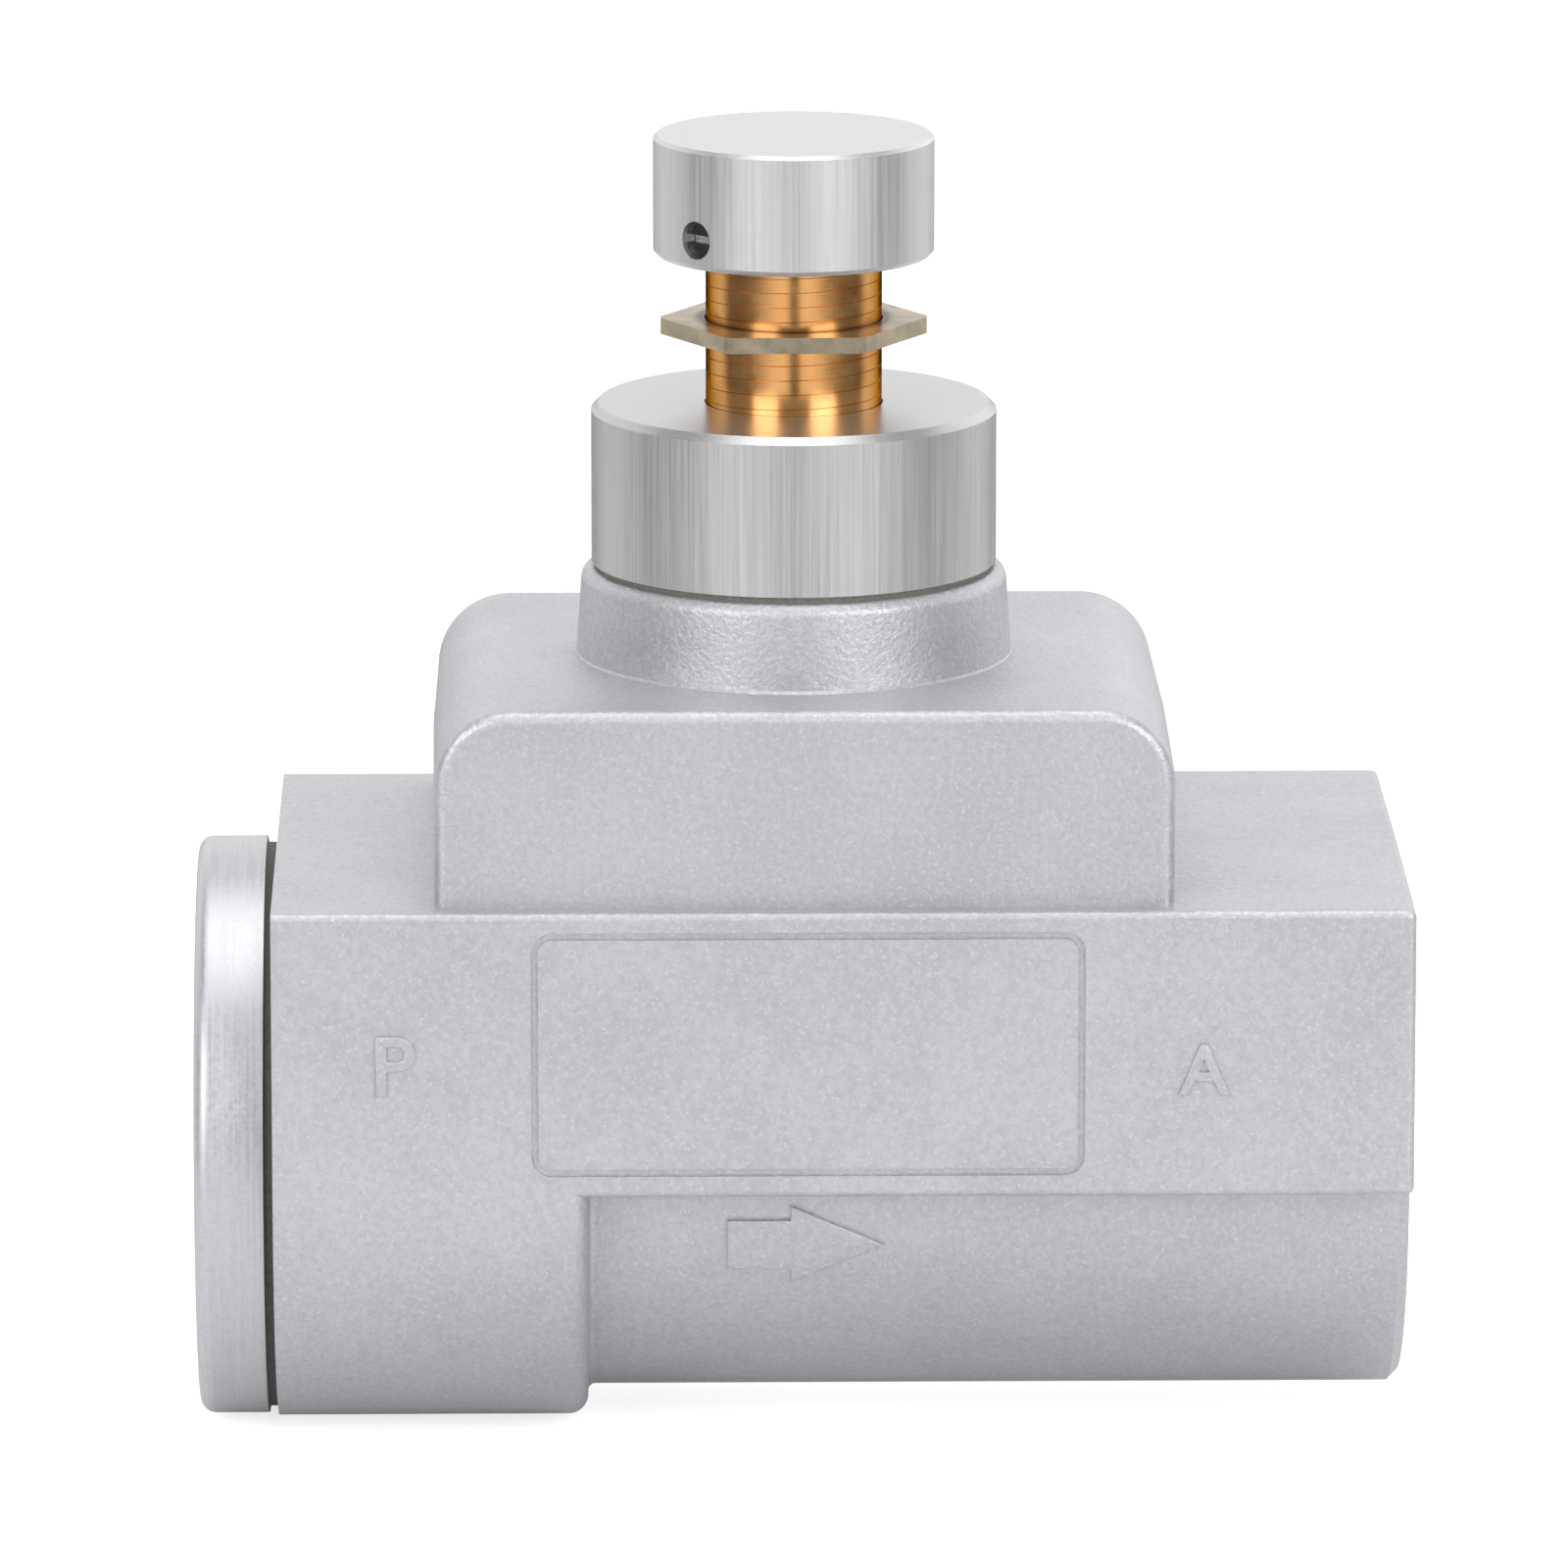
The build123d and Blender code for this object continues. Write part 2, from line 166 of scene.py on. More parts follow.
castLook = {
    "metal": 0.92,
    "dark": (0.555, 0.546, 0.57),
    "light": (0.64, 0.629, 0.653),
    "speck": (0.69, 0.678, 0.70),
    "patch": 9 * mm,
    "peel": 0.42 * mm,
    "grit": 0.2 * mm,
    "peelShare": 0.65,             # of the tone, the rest comes from the patches
    "toneCut": (0.38, 0.62),
    "speckSize": 0.26 * mm,
    "speckCut": (0.60, 0.72),
    "peelBump": 0.8,
    "peelDepth": 0.085 * mm,
    "gritBump": 0.6,
    "gritDepth": 0.035 * mm,
    "roughness": (0.44, 0.56),
}


def castFinish():      # blasted die casting: orange peel, finer grit, bright specks, slow change of tone
    look = castLook
    finish, tree, shader = startFinish("castFinish", Metallic=look["metal"])
    place = objectPlace(tree)
    patches = noise(tree, place, look["patch"], detail=3)
    peel = noise(tree, place, look["peel"], detail=2.5, rough=0.6)
    grit = noise(tree, place, look["grit"])
    slow = math2(tree, "MULTIPLY", patches, 1 - look["peelShare"])
    tone = math2(tree, "ADD", slow, math2(tree, "MULTIPLY", peel, look["peelShare"]))
    skin = tint(tree, tone, look["dark"], look["light"], *look["toneCut"])
    specks = spread(tree, noise(tree, place, look["speckSize"], detail=1), 0.0, 1.0, *look["speckCut"])
    plug(tree, blend(tree, specks, skin, (*look["speck"], 1)), shader.inputs["Base Color"])
    plug(tree, spread(tree, grit, *look["roughness"]), shader.inputs["Roughness"])
    coarse = bump(tree, peel, look["peelBump"], look["peelDepth"])
    plug(tree, bump(tree, grit, look["gritBump"], look["gritDepth"], coarse), shader.inputs["Normal"])
    return finish


capLook = {
    "metal": 0.95,
    "dark": (0.60, 0.592, 0.615),
    "light": (0.68, 0.67, 0.69),
    "ring": 0.2 * mm,
    "ringStretch": (1, 0.02, 0.02),
    "grit": 0.3 * mm,
    "toneCut": (0.4, 0.6),
    "roughness": (0.42, 0.52),
    "bump": 0.4,
    "depth": 0.02 * mm,
}


def capFinish():       # turned along the flow, then blasted lightly
    look = capLook
    finish, tree, shader = startFinish("capFinish", Metallic=look["metal"])
    rings = noise(tree, objectPlace(tree, scale=look["ringStretch"]), look["ring"])
    grit = noise(tree, objectPlace(tree), look["grit"])
    both = math2(tree, "MULTIPLY", math2(tree, "ADD", rings, grit), 0.5)
    skin = tint(tree, both, look["dark"], look["light"], *look["toneCut"])
    plug(tree, skin, shader.inputs["Base Color"])
    plug(tree, spread(tree, both, *look["roughness"], *look["toneCut"]), shader.inputs["Roughness"])
    plug(tree, bump(tree, both, look["bump"], look["depth"]), shader.inputs["Normal"])
    return finish


def stemRadius(tree):      # distance from the stem axis
    split = addNode(tree, "ShaderNodeSeparateXYZ")
    tree.links.new(objectPlace(tree, (-stemX, 0, 0)), split.inputs[0])
    squares = [math2(tree, "MULTIPLY", split.outputs[i], split.outputs[i]) for i in (0, 1)]
    return math2(tree, "SQRT", math2(tree, "ADD", *squares))


turnedLook = {
    "metal": 0.96,
    "lineStretch": (1, 1, 0.012),
    "endFace": (0.6, 0.8),         # a face that leans up this far is an end face
    "grain": 0.05,                 # roughness gained and lost along the lines
}


def turnedFinish(name, look):     # drawn bar with lines along its side and turning rings on its end faces
    finish, tree, shader = startFinish(name, Metallic=turnedLook["metal"])
    place = objectPlace(tree, (-stemX, 0, 0), turnedLook["lineStretch"])
    lines = noise(tree, place, look["line"], rough=0.6)
    outward = addNode(tree, "ShaderNodeCombineXYZ")
    tree.links.new(stemRadius(tree), outward.inputs[0])
    rings = noise(tree, outward.outputs[0], look["ring"], rough=0.6)
    facing = addNode(tree, "ShaderNodeSeparateXYZ")
    tree.links.new(addNode(tree, "ShaderNodeTexCoord").outputs["Normal"], facing.inputs[0])
    onTop = spread(tree, math2(tree, "ABSOLUTE", facing.outputs[2]), 0.0, 1.0, *turnedLook["endFace"])
    chosen = addNode(tree, "ShaderNodeMix", data_type="FLOAT")
    plug(tree, onTop, chosen.inputs[0])
    plug(tree, lines, chosen.inputs[2])
    plug(tree, rings, chosen.inputs[3])
    pattern = chosen.outputs[0]
    plug(tree, tint(tree, pattern, look["dark"], look["light"]), shader.inputs["Base Color"])
    grain = spread(tree, pattern, -turnedLook["grain"], turnedLook["grain"])
    even = spread(tree, onTop, *look["sideAndTop"], 0, 1)
    plug(tree, math2(tree, "ADD", even, grain), shader.inputs["Roughness"])
    plug(tree, bump(tree, pattern, look["bump"], look["depth"]), shader.inputs["Normal"])
    return finish


glandLook = {
    "dark": (0.54, 0.538, 0.545),
    "light": (0.655, 0.65, 0.655),
    "line": 0.2 * mm,
    "ring": 0.2 * mm,
    "sideAndTop": (0.40, 0.32),    # roughness of the side and of the end faces
    "bump": 0.45,
    "depth": 0.03 * mm,
}
knobLook = {
    "dark": (0.67, 0.665, 0.67),
    "light": (0.76, 0.755, 0.755),
    "line": 0.25 * mm,
    "ring": 0.2 * mm,
    "sideAndTop": (0.42, 0.40),
    "bump": 0.3,
    "depth": 0.02 * mm,
}

brassLook = {
    "dark": (0.80, 0.39, 0.13),
    "light": (0.89, 0.48, 0.19),
    "edge": (0.2, 0.12, 0.08, 1),
    "patch": 1.5 * mm,
    "line": 0.12 * mm,
    "lineStretch": (0.02, 0.02, 1),
    "roughness": (0.15, 0.22),
    "bump": 0.2,
    "depth": 0.006 * mm,
}


def brassFinish():     # bright turned brass
    look = brassLook
    finish, tree, shader = startFinish("brassFinish", Metallic=1.0)
    shader.inputs["Specular Tint"].default_value = look["edge"]
    patches = noise(tree, objectPlace(tree), look["patch"], detail=3)
    lines = noise(tree, objectPlace(tree, scale=look["lineStretch"]), look["line"], detail=1)
    plug(tree, tint(tree, patches, look["dark"], look["light"]), shader.inputs["Base Color"])
    plug(tree, spread(tree, patches, *look["roughness"]), shader.inputs["Roughness"])
    plug(tree, bump(tree, lines, look["bump"], look["depth"]), shader.inputs["Normal"])
    return finish


nutLook = {
    "metal": 0.95,
    "dark": (0.36, 0.33, 0.22),
    "light": (0.59, 0.47, 0.35),
    "mouth": (0.10, 0.055, 0.025),
    "mouthRadius": (6.35 * mm, 7.0 * mm),
    "patch": 1.6 * mm,
    "grit": 0.15 * mm,
    "roughness": (0.28, 0.42),
    "bump": 0.3,
    "depth": 0.01 * mm,
}


def nutFinish():       # zinc with an olive passivate that changes tone in patches, with painted shade round the stem where a countersink's dark mouth would be
    look = nutLook
    finish, tree, shader = startFinish("nutFinish", Metallic=look["metal"])
    patches = noise(tree, objectPlace(tree), look["patch"])
    grit = noise(tree, objectPlace(tree), look["grit"])
    plating = tint(tree, patches, look["dark"], look["light"])
    # painted shade: the plating darkens to near black close round the stem
    mouth = spread(tree, stemRadius(tree), 1.0, 0.0, *look["mouthRadius"])
    plug(tree, blend(tree, mouth, plating, (*look["mouth"], 1)), shader.inputs["Base Color"])
    plug(tree, spread(tree, grit, *look["roughness"]), shader.inputs["Roughness"])
    plug(tree, bump(tree, grit, look["bump"], look["depth"]), shader.inputs["Normal"])
    return finish


screwLook = {
    "land": (0.09, 0.09, 0.09),
    # the slot's bright colour is a painted highlight
    "slot": (0.88, 0.87, 0.84),
    "slotRadius": (8.5 * mm, 8.8 * mm),      # the slot lies nearer the stem axis than the screw's end
    "grit": 0.15 * mm,
    "roughness": (0.25, 0.38),
    "bump": 0.2,
    "depth": 0.006 * mm,
}


def screwFinish():     # blackened steel, with a painted highlight on the driver's slot
    look = screwLook
    finish, tree, shader = startFinish("screwFinish", Metallic=1.0)
    # painted highlight: the slot, nearer the stem axis than the screw's end, is coloured bright
    slotHighlight = spread(tree, stemRadius(tree), 1.0, 0.0, *look["slotRadius"])
    grit = noise(tree, objectPlace(tree), look["grit"])
    plug(tree, tint(tree, slotHighlight, look["land"], look["slot"], 0, 1), shader.inputs["Base Color"])
    plug(tree, spread(tree, grit, *look["roughness"]), shader.inputs["Roughness"])
    plug(tree, bump(tree, grit, look["bump"], look["depth"]), shader.inputs["Normal"])
    return finish


wireLook = {
    "dark": (0.5, 0.5, 0.51),
    "light": (0.66, 0.66, 0.67),
    "scratch": 0.1 * mm,
    "scratchStretch": (1, 0.2, 0.2),
    "roughness": (0.18, 0.3),
    "bump": 0.2,
    "depth": 0.006 * mm,
}


def springFinish():    # bright spring wire with fine scratches
    look = wireLook
    finish, tree, shader = startFinish("springFinish", Metallic=1.0)
    scratches = noise(tree, objectPlace(tree, scale=look["scratchStretch"]), look["scratch"])
    plug(tree, tint(tree, scratches, look["dark"], look["light"]), shader.inputs["Base Color"])
    plug(tree, spread(tree, scratches, *look["roughness"]), shader.inputs["Roughness"])
    plug(tree, bump(tree, scratches, look["bump"], look["depth"]), shader.inputs["Normal"])
    return finish


rubberLook = {
    "dark": (0.055, 0.055, 0.047),
    "light": (0.085, 0.085, 0.072),
    "grain": 0.4 * mm,
    "roughness": (0.5, 0.65),
}
gasketLook = {
    "dark": (0.17, 0.16, 0.14),
    "light": (0.25, 0.24, 0.21),
    "grain": 0.3 * mm,
    "roughness": (0.55, 0.7),
}
plasticLook = {
    "dark": (0.78, 0.77, 0.72),
    "light": (0.84, 0.83, 0.79),
    "grain": 0.5 * mm,
    "roughness": (0.32, 0.42),
}
softBump, softDepth = 0.3, 0.02 * mm


def softFinish(name, look):      # rubber and moulded plastic
    finish, tree, shader = startFinish(name)
    grain = noise(tree, objectPlace(tree), look["grain"])
    plug(tree, tint(tree, grain, look["dark"], look["light"]), shader.inputs["Base Color"])
    plug(tree, spread(tree, grain, *look["roughness"]), shader.inputs["Roughness"])
    plug(tree, bump(tree, grain, softBump, softDepth), shader.inputs["Normal"])
    return finish


finishes = {
    "cast": castFinish(),
    "cap": capFinish(),
    "gland": turnedFinish("glandFinish", glandLook),
    "knob": turnedFinish("knobFinish", knobLook),
    "brass": brassFinish(),
    "nut": nutFinish(),
    "screw": screwFinish(),
    "spring": springFinish(),
    "rubber": softFinish("rubberFinish", rubberLook),
    "gasket": softFinish("gasketFinish", gasketLook),
    "plastic": softFinish("plasticFinish", plasticLook),
}
print("finishes made,", len(finishes))


# Mesh helpers

def mergedCopy(node):      # a copy of a node's mesh with its doubles merged and its shading kept
    mesh = nodes[node].data.copy()
    shading = [tuple(corner.vector) for corner in mesh.corner_normals]
    work = bmesh.new()
    work.from_mesh(mesh)
    kept = work.loops.layers.float_vector.new("shading")
    corners = (corner for face in work.faces for corner in face.loops)
    for corner, direction in zip(corners, shading):
        corner[kept] = direction
    bmesh.ops.remove_doubles(work, verts=work.verts, dist=doublesGap)
    work.to_mesh(mesh)
    work.free()
    mesh.normals_split_custom_set([tuple(corner.vector) for corner in mesh.attributes["shading"].data])
    mesh.attributes.remove(mesh.attributes["shading"])
    return mesh


def joinMeshes(name, meshes, finish):
    shading = [tuple(corner.vector) for mesh in meshes for corner in mesh.corner_normals]
    work = bmesh.new()
    for mesh in meshes:
        work.from_mesh(mesh)
    joined = bpy.data.meshes.new(name)
    work.to_mesh(joined)
    work.free()
    joined.normals_split_custom_set(shading)
    joined.materials.append(finish)
    for polygon in joined.polygons:
        polygon.material_index = 0
    return joined


def placePiece(name, mesh, body, slot, *replaced):
    piece = bpy.data.objects.new(name, mesh)
    bpy.context.scene.collection.objects.link(piece)
    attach(piece, body)
    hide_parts(*replaced)
    return piece


def plainMesh(source):     # the evaluated shape of a curve, text or node tree as a plain mesh
    bpy.context.view_layer.update()
    graph = bpy.context.evaluated_depsgraph_get()
    mesh = bpy.data.meshes.new_from_object(source.evaluated_get(graph))
    bpy.data.objects.remove(source)
    return mesh


# Geometry Nodes: a section swept along a helix about Z, for threads and the spring

def buildHelixTree():
    tree = bpy.data.node_groups.new("helixSweep", "GeometryNodeTree")
    sockets = {
        "Radius": "NodeSocketFloat",
        "Pitch": "NodeSocketFloat",
        "Turns": "NodeSocketFloat",
        "Steps per turn": "NodeSocketInt",
        "Inner width": "NodeSocketFloat",
        "Outer width": "NodeSocketFloat",
        "Height": "NodeSocketFloat",
        "Round wire": "NodeSocketBool",
        "Wire steps": "NodeSocketInt",
        "Finish": "NodeSocketMaterial",
    }
    for name, kind in sockets.items():
        tree.interface.new_socket(name, in_out="INPUT", socket_type=kind)
    tree.interface.new_socket("Mesh", in_out="OUTPUT", socket_type="NodeSocketGeometry")
    given = addNode(tree, "NodeGroupInput").outputs
    rise = addNode(tree, "ShaderNodeMath", operation="MULTIPLY")
    plug(tree, given["Pitch"], rise.inputs[0])
    plug(tree, given["Turns"], rise.inputs[1])
    spiral = addNode(tree, "GeometryNodeCurveSpiral")
    plug(tree, given["Steps per turn"], spiral.inputs["Resolution"])
    plug(tree, given["Turns"], spiral.inputs["Rotations"])
    plug(tree, given["Radius"], spiral.inputs["Start Radius"])
    plug(tree, given["Radius"], spiral.inputs["End Radius"])
    plug(tree, rise.outputs[0], spiral.inputs["Height"])
    spiral.inputs["Reverse"].default_value = True          # right-handed
    upright = addNode(tree, "GeometryNodeSetCurveNormal", mode="Z_UP")
    plug(tree, spiral.outputs["Curve"], upright.inputs["Curve"])
    ridge = addNode(tree, "GeometryNodeCurvePrimitiveQuadrilateral", mode="TRAPEZOID")
    plug(tree, given["Inner width"], ridge.inputs["Bottom Width"])
    plug(tree, given["Outer width"], ridge.inputs["Top Width"])
    plug(tree, given["Height"], ridge.inputs["Height"])
    ridge.inputs["Offset"].default_value = 0
    wire = addNode(tree, "GeometryNodeCurvePrimitiveCircle", mode="RADIUS")
    half = addNode(tree, "ShaderNodeMath", operation="MULTIPLY")
    plug(tree, given["Height"], half.inputs[0])
    half.inputs[1].default_value = 0.5
    plug(tree, given["Wire steps"], wire.inputs["Resolution"])
    plug(tree, half.outputs[0], wire.inputs["Radius"])
    section = addNode(tree, "GeometryNodeSwitch", input_type="GEOMETRY")
    plug(tree, given["Round wire"], section.inputs["Switch"])
    plug(tree, ridge.outputs["Curve"], section.inputs["False"])
    plug(tree, wire.outputs["Curve"], section.inputs["True"])
    turned = addNode(tree, "GeometryNodeTransform")
    plug(tree, section.outputs["Output"], turned.inputs["Geometry"])
    turned.inputs["Rotation"].default_value = Euler((0, 0, math.radians(-90)))    # its height points outwards
    sweep = addNode(tree, "GeometryNodeCurveToMesh")
    plug(tree, upright.outputs["Curve"], sweep.inputs["Curve"])
    plug(tree, turned.outputs["Geometry"], sweep.inputs["Profile Curve"])
    sweep.inputs["Fill Caps"].default_value = True
    real = addNode(tree, "GeometryNodeRealizeInstances")
    plug(tree, sweep.outputs["Mesh"], real.inputs["Geometry"])
    painted = addNode(tree, "GeometryNodeSetMaterial")
    plug(tree, real.outputs["Geometry"], painted.inputs["Geometry"])
    plug(tree, given["Finish"], painted.inputs["Material"])
    out = addNode(tree, "NodeGroupOutput")
    plug(tree, painted.outputs["Geometry"], out.inputs["Mesh"])
    return tree


helixTree = buildHelixTree()


def helixMesh(name, settings):
    carrier = bpy.data.objects.new(name, bpy.data.meshes.new(name))
    bpy.context.scene.collection.objects.link(carrier)
    modifier = carrier.modifiers.new("helix", "NODES")
    modifier.node_group = helixTree
    for item in helixTree.interface.items_tree:
        if item.in_out == "INPUT" and item.name in settings:
            modifier[item.identifier] = settings[item.name]
    return plainMesh(carrier)


def smoothMesh(mesh, sharpAngle):
    mesh.polygons.foreach_set("use_smooth", [True] * len(mesh.polygons))
    mesh.set_sharp_from_angle(angle=math.radians(sharpAngle))
    return mesh


ridgeCorners = 4         # points in a ridge's section
leastRidge = 0.03        # share of its height that a faded ridge ends with


def fadeEnds(mesh, wallRadius, steps):     # sinks both ends of a ridge into the wall that carries it
    rings = len(mesh.vertices) // ridgeCorners
    for v in mesh.vertices:
        ring = v.index // ridgeCorners
        share = min(max(min(ring, rings - 1 - ring) / steps, leastRidge), 1.0)
        radius = math.hypot(v.co.x, v.co.y)
        scale = (wallRadius + (radius - wallRadius) * share) / radius
        v.co.x *= scale
        v.co.y *= scale
    return mesh


alongFlow = Matrix.Rotation(math.radians(90), 4, "Y")       # turns an upright helix onto the flow axis


# Cast marks: port letters and flow arrow

markLook = {
    "letters": [                         # letter, centre along X and Z, height
        ("P", 13.7 * mm, 9.4 * mm, 4.1 * mm),
        ("A", 68.0 * mm, 9.0 * mm, 3.5 * mm),
    ],
    "fontSize": 1.4,                     # of the letter's height
    "relief": 0.28 * mm,
    "sunk": 0.4 * mm,
    "edge": 0.1 * mm,
    "edgeSteps": 2,
    "skinGap": 0.001 * mm,
    "sharpAngle": 40,
    "arrowCuts": 3,                      # cuts on each side of its middle, so that it follows the round
    "arrowTail": 36.1 * mm,
    "arrowHead": 40.4 * mm,
    "arrowTip": 46.4 * mm,
    "arrowZ": -4.3 * mm,
    "tailHalf": 1.7 * mm,
    "headHalf": 2.7 * mm,
    "roundRadius": 17.95 * mm,
}


def weld(mesh, cuts=()):      # joins the skins of a filled curve, and cuts them across at some heights
    work = bmesh.new()
    work.from_mesh(mesh)
    bmesh.ops.remove_doubles(work, verts=work.verts, dist=markLook["skinGap"])
    for height in cuts:
        everything = work.verts[:] + work.edges[:] + work.faces[:]
        bmesh.ops.bisect_plane(work, geom=everything, plane_co=(0, height, 0), plane_no=(0, 1, 0))
    work.to_mesh(mesh)
    work.free()
    return mesh


def raisedText(word, centreX, centreZ, height):
    curve = bpy.data.curves.new("mark" + word, "FONT")
    curve.body = word
    curve.size = height * markLook["fontSize"]
    curve.extrude = (markLook["relief"] + markLook["sunk"]) / 2
    curve.bevel_depth = markLook["edge"]
    curve.bevel_resolution = markLook["edgeSteps"]
    holder = bpy.data.objects.new("mark" + word, curve)
    bpy.context.scene.collection.objects.link(holder)
    mesh = weld(plainMesh(holder))
    xs = [v.co.x for v in mesh.vertices]
    ys = [v.co.y for v in mesh.vertices]
    top = max(v.co.z for v in mesh.vertices)
    scale = height / (max(ys) - min(ys))
    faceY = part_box("valve_body")[0].y
    for v in mesh.vertices:
        x = (v.co.x - (max(xs) + min(xs)) / 2) * scale + centreX
        z = (v.co.y - (max(ys) + min(ys)) / 2) * scale + centreZ
        y = faceY - markLook["relief"] + (top - v.co.z)
        v.co = (x, y, z)
    return smoothMesh(mesh, markLook["sharpAngle"])


def raisedArrow():
    look = markLook
    outline = [
        (look["arrowTail"], -look["tailHalf"]),
        (look["arrowHead"], -look["tailHalf"]),
        (look["arrowHead"], -look["headHalf"]),
        (look["arrowTip"], 0),
        (look["arrowHead"], look["headHalf"]),
        (look["arrowHead"], look["tailHalf"]),
        (look["arrowTail"], look["tailHalf"]),
    ]
    curve = bpy.data.curves.new("markArrow", "CURVE")
    curve.dimensions = "2D"
    curve.fill_mode = "BOTH"
    curve.extrude = (look["relief"] + look["sunk"]) / 2
    curve.bevel_depth = look["edge"]
    curve.bevel_resolution = look["edgeSteps"]
    line = curve.splines.new("POLY")
    line.points.add(len(outline) - 1)
    for point, (x, z) in zip(line.points, outline):
        point.co = (x, z, 0, 1)
    line.use_cyclic_u = True
    holder = bpy.data.objects.new("markArrow", curve)
    bpy.context.scene.collection.objects.link(holder)
    cuts = range(-look["arrowCuts"], look["arrowCuts"] + 1)
    mesh = weld(plainMesh(holder), [look["headHalf"] * i / (look["arrowCuts"] + 1) for i in cuts])
    top = max(v.co.z for v in mesh.vertices)
    for v in mesh.vertices:
        z = v.co.y + look["arrowZ"]
        crown = math.sqrt(max((look["roundRadius"] + look["relief"]) ** 2 - z * z, 0))
        v.co = (v.co.x, -crown + (top - v.co.z), z)
    return smoothMesh(mesh, look["sharpAngle"])


# Casting, end cap and stem, with their threads

portLook = {
    "coreRadius": 9.315 * mm,
    "rootRadius": 10.478 * mm,
    "pitch": 1.814 * mm,
    "crestWidth": 0.34 * mm,
    "rootWidth": 1.56 * mm,
    "overlap": 0.06 * mm,
    "runOut": 1.6 * mm,
    "pastEnds": 1.0 * mm,                # how far the widening looks past the port's ends
    "steps": 72,
    "fadeTurns": 0.5,
    "sharpAngle": 35,
}


def openPort(mesh, fromX, toX):     # widens the port's plain wall to the bottom of its thread
    look = portLook
    for v in mesh.vertices:
        radius = math.hypot(v.co.y, v.co.z)
        if fromX < v.co.x < toX and abs(radius - look["coreRadius"]) < onWall:
            v.co.y *= look["rootRadius"] / radius
            v.co.z *= look["rootRadius"] / radius
    return mesh


def portThread(name, startX, length, finish):
    look = portLook
    height = look["rootRadius"] - look["coreRadius"] + look["overlap"]
    settings = {
        "Radius": look["coreRadius"] + height / 2,
        "Pitch": look["pitch"],
        "Turns": length / look["pitch"],
        "Steps per turn": look["steps"],
        "Inner width": look["crestWidth"],
        "Outer width": look["rootWidth"],
        "Height": height,
        "Finish": finish,
    }
    ridge = fadeEnds(helixMesh(name, settings), look["rootRadius"], look["steps"] * look["fadeTurns"])
    mesh = smoothMesh(ridge, look["sharpAngle"])
    mesh.transform(Matrix.Translation((startX, 0, 0)) @ alongFlow)
    return mesh


portMounts = {mount["name"]: mount for mount in frame["record"]["mounts"]}
portLength = {name: mount["dims"]["length_mm"] * mm for name, mount in portMounts.items()}
outletX = portMounts["port_a"]["pos_m"][0]
outletStart = outletX - portLength["port_a"]
pastEnds = portLook["pastEnds"]


def threadLength(port):      # it stops a pitch short of the mouth and a run-out short of the bore's end
    return portLength[port] - portLook["runOut"] - portLook["pitch"]


castMesh = openPort(mergedCopy("valve_body"), outletStart - pastEnds, outletX + pastEnds)
outletThreadX = outletStart + portLook["runOut"]
castParts = [castMesh, raisedArrow()]
castParts += [raisedText(*letter) for letter in markLook["letters"]]
castParts.append(portThread("outletThread", outletThreadX, threadLength("port_a"), finishes["cast"]))
placePiece("valve_casting", joinMeshes("valve_casting", castParts, finishes["cast"]),
           "body", "cast_alloy", "valve_body")
print("casting made")

capMesh = openPort(mergedCopy("end_cap"), -pastEnds, portLength["port_p"] + pastEnds)
inletThread = portThread("inletThread", portLook["pitch"], threadLength("port_p"), finishes["cap"])
capParts = [capMesh, inletThread]
placePiece("inlet_cap", joinMeshes("inlet_cap", capParts, finishes["cap"]), "body", "cap_alloy", "end_cap")
print("end cap made")

stemLook = {
    "threadRadius": 6.0 * mm,
    "coreRadius": 5.96 * mm,
    "pitch": 1.0 * mm,
    "crestWidth": 0.93 * mm,
    "rootWidth": 1.02 * mm,
    "overlap": 0.02 * mm,
    "steps": 96,
    "runOut": 0.3 * mm,
    "sharpAngle": 35,
}


def threadedStem():
    look = stemLook
    mesh = mergedCopy("stem")
    shank = [v for v in mesh.vertices
             if abs(math.hypot(v.co.x - stemX, v.co.y) - look["threadRadius"]) < onWall]
    low, high = min(v.co.z for v in shank), max(v.co.z for v in shank)
    for v in shank:
        v.co.x = stemX + (v.co.x - stemX) * look["coreRadius"] / look["threadRadius"]
        v.co.y *= look["coreRadius"] / look["threadRadius"]
    height = look["threadRadius"] - look["coreRadius"] + look["overlap"]
    length = high - low - 2 * look["runOut"] - look["pitch"]
    settings = {
        "Radius": look["threadRadius"] - height / 2,
        "Pitch": look["pitch"],
        "Turns": length / look["pitch"],
        "Steps per turn": look["steps"],
        "Inner width": look["rootWidth"],
        "Outer width": look["crestWidth"],
        "Height": height,
        "Finish": finishes["brass"],
    }
    ridge = smoothMesh(helixMesh("stemThread", settings), look["sharpAngle"])
    ridge.transform(Matrix.Translation((stemX, 0, low + look["runOut"] + look["pitch"] / 2)))
    return joinMeshes("threaded_stem", [mesh, ridge], finishes["brass"])


placePiece("threaded_stem", threadedStem(), "stem", "stem_brass", "stem")
print("stem made")

springLook = {
    "wire": 1.1 * mm,
    "meanRadius": 8.9 * mm,
    "turns": 4.0,
    "steps": 64,
    "wireSteps": 14,
    "sharpAngle": 50,
}


def coilSpring():
    look = springLook
    low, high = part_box("check_spring")
    start, end = low.x + look["wire"] / 2, high.x - look["wire"] / 2
    settings = {
        "Radius": look["meanRadius"],
        "Pitch": (end - start) / look["turns"],
        "Turns": look["turns"],
        "Steps per turn": look["steps"],
        "Height": look["wire"],
        "Round wire": True,
        "Wire steps": look["wireSteps"],
        "Finish": finishes["spring"],
    }
    mesh = smoothMesh(helixMesh("coil_spring", settings), look["sharpAngle"])
    mesh.transform(Matrix.Translation((start, 0, 0)) @ alongFlow)
    return mesh, low.x, high.x


springMesh, springStart, springEnd = coilSpring()
spring = placePiece("coil_spring", springMesh, "body", "spring_steel", "check_spring")
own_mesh(spring)


# Nodes whose shape is right keep their mesh and get a finish

